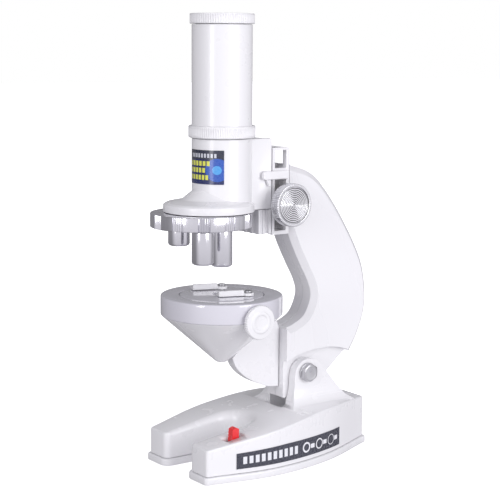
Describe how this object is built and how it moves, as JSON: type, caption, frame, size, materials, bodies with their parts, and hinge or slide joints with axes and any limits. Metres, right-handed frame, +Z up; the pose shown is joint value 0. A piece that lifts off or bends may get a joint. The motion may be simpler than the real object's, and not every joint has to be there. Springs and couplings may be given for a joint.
{
  "type": "toy microscope",
  "caption": "White children's microscope: horseshoe base with red switch, tilting C-shaped arm, geared focus knobs, rotating lens turret and round lit stage on a cone.",
  "frame": {"origin": "centre of the whole microscope's length and width on the underside of the base plate, where it stands on the table", "axes": "+Z up; -Y towards the open end of the horseshoe base, where the stage and the tube are; +Y towards the arm's back; +X towards the lamp knob and the switch's side"},
  "size_m": [0.0661, 0.1227, 0.22],
  "materials": {
    "white_plastic": "glossy white moulded plastic",
    "silver_plating": "bright metallised plastic",
    "knob_metal": "silver knurled edge",
    "knob_face_metal": "silver disc with fine concentric turning rings",
    "bolt_steel": "zinc-plated steel",
    "screw_steel": "plain steel",
    "red_plastic": "glossy red plastic",
    "label": "dark printed film",
    "glass": "clear lens",
    "mirror": "silvered disc",
    "black_plastic": "black plastic",
    "nylon": "natural nylon",
    "cell_jacket": "printed steel jacket, plain",
    "contact_spring": "nickel-plated strip"
  },
  "bodies": {
    "base": {"base_cover": "white_plastic", "base_label": "label", "base_plate": "white_plastic", "base_screw_1": "screw_steel", "base_screw_2": "screw_steel", "base_screw_3": "screw_steel", "base_screw_4": "screw_steel", "battery_contact_front": "contact_spring", "battery_contact_rear": "contact_spring", "battery_door": "white_plastic", "battery_left": "cell_jacket", "battery_right": "cell_jacket", "hinge_bolt": "bolt_steel", "hinge_nut": "bolt_steel", "switch_body": "black_plastic"},
    "head": {"head_housing": "white_plastic", "focus_slide": "white_plastic", "slide_screw_bottom": "screw_steel", "slide_screw_top": "screw_steel", "focus_rack": "nylon", "tube_ring": "white_plastic", "eyepiece_tube": "white_plastic", "field_lens": "glass", "head_label": "label", "turret_screw": "screw_steel"},
    "turret_body": {"turret": "silver_plating", "objective_high": "silver_plating", "objective_mid": "silver_plating", "objective_low": "silver_plating", "lens_high": "glass", "lens_mid": "glass", "lens_low": "glass"},
    "eyepiece_body": {"eyepiece": "white_plastic", "eyepiece_lens": "glass"},
    "focus_drive": {"pinion_shaft": "nylon", "focus_knob_right": "knob_metal", "focus_knob_left": "knob_metal", "knob_face_right": "knob_face_metal", "knob_face_left": "knob_face_metal"},
    "clip_right": {"stage_clip_right": "white_plastic"},
    "clip_left": {"stage_clip_left": "white_plastic"},
    "lamp_turner": {"lamp_knob": "white_plastic", "lamp_carrier": "black_plastic", "lamp_led": "glass", "lamp_mirror": "mirror"},
    "arm": {"arm_left_shell": "white_plastic", "arm_right_shell": "white_plastic", "arm_screw_top": "screw_steel", "arm_screw_bottom": "screw_steel", "rail_housing": "white_plastic", "stage_bracket": "white_plastic", "bracket_screw_bottom": "screw_steel", "bracket_screw_top": "screw_steel", "stage_disc": "white_plastic", "stage_insert": "white_plastic", "light_funnel": "white_plastic", "clip_pin_left": "bolt_steel", "clip_pin_right": "bolt_steel"},
    "switch_key": {"switch_slider": "red_plastic"}
  },
  "joints": [
    {"name": "tilt", "type": "hinge", "parent": "base", "child": "arm", "pos_m": [0, 0.0197, 0.0425], "axis": [-1, 0, 0], "range_deg": [0, 40]},
    {"name": "focus", "type": "slide", "parent": "arm", "child": "head", "axis": [0, 0, 1], "range_m": [-0.009, 0.009]},
    {"name": "focus_pinion", "type": "hinge", "parent": "arm", "child": "focus_drive", "pos_m": [0, 0.0039, 0.1288], "axis": [-1, 0, 0], "range_deg": [-130, 130]},
    {"name": "turret_spin", "type": "hinge", "parent": "head", "child": "turret_body", "pos_m": [0, -0.03684, 0.1228], "axis": [0, 0, 1], "continuous": true},
    {"name": "eyepiece_twist", "type": "hinge", "parent": "head", "child": "eyepiece_body", "pos_m": [0, -0.0249, 0.2176], "axis": [0, 0, 1], "continuous": true},
    {"name": "clip_right_swivel", "type": "hinge", "parent": "arm", "child": "clip_right", "pos_m": [0.0113, -0.0169, 0.0852], "axis": [0, 0, 1], "range_deg": [-25, 45]},
    {"name": "clip_left_swivel", "type": "hinge", "parent": "arm", "child": "clip_left", "pos_m": [-0.0113, -0.0169, 0.0852], "axis": [0, 0, 1], "range_deg": [-45, 25]},
    {"name": "lamp_turn", "type": "hinge", "parent": "arm", "child": "lamp_turner", "pos_m": [0, -0.0248, 0.0764], "axis": [1, 0, 0], "continuous": true},
    {"name": "switch_travel", "type": "slide", "parent": "base", "child": "switch_key", "axis": [0, 1, 0], "range_m": [-0.0024, 0.0024]}
  ],
  "couplings": [
    {"joint": "focus_pinion", "follows": "focus", "rad_per_m": 250}
  ]
}
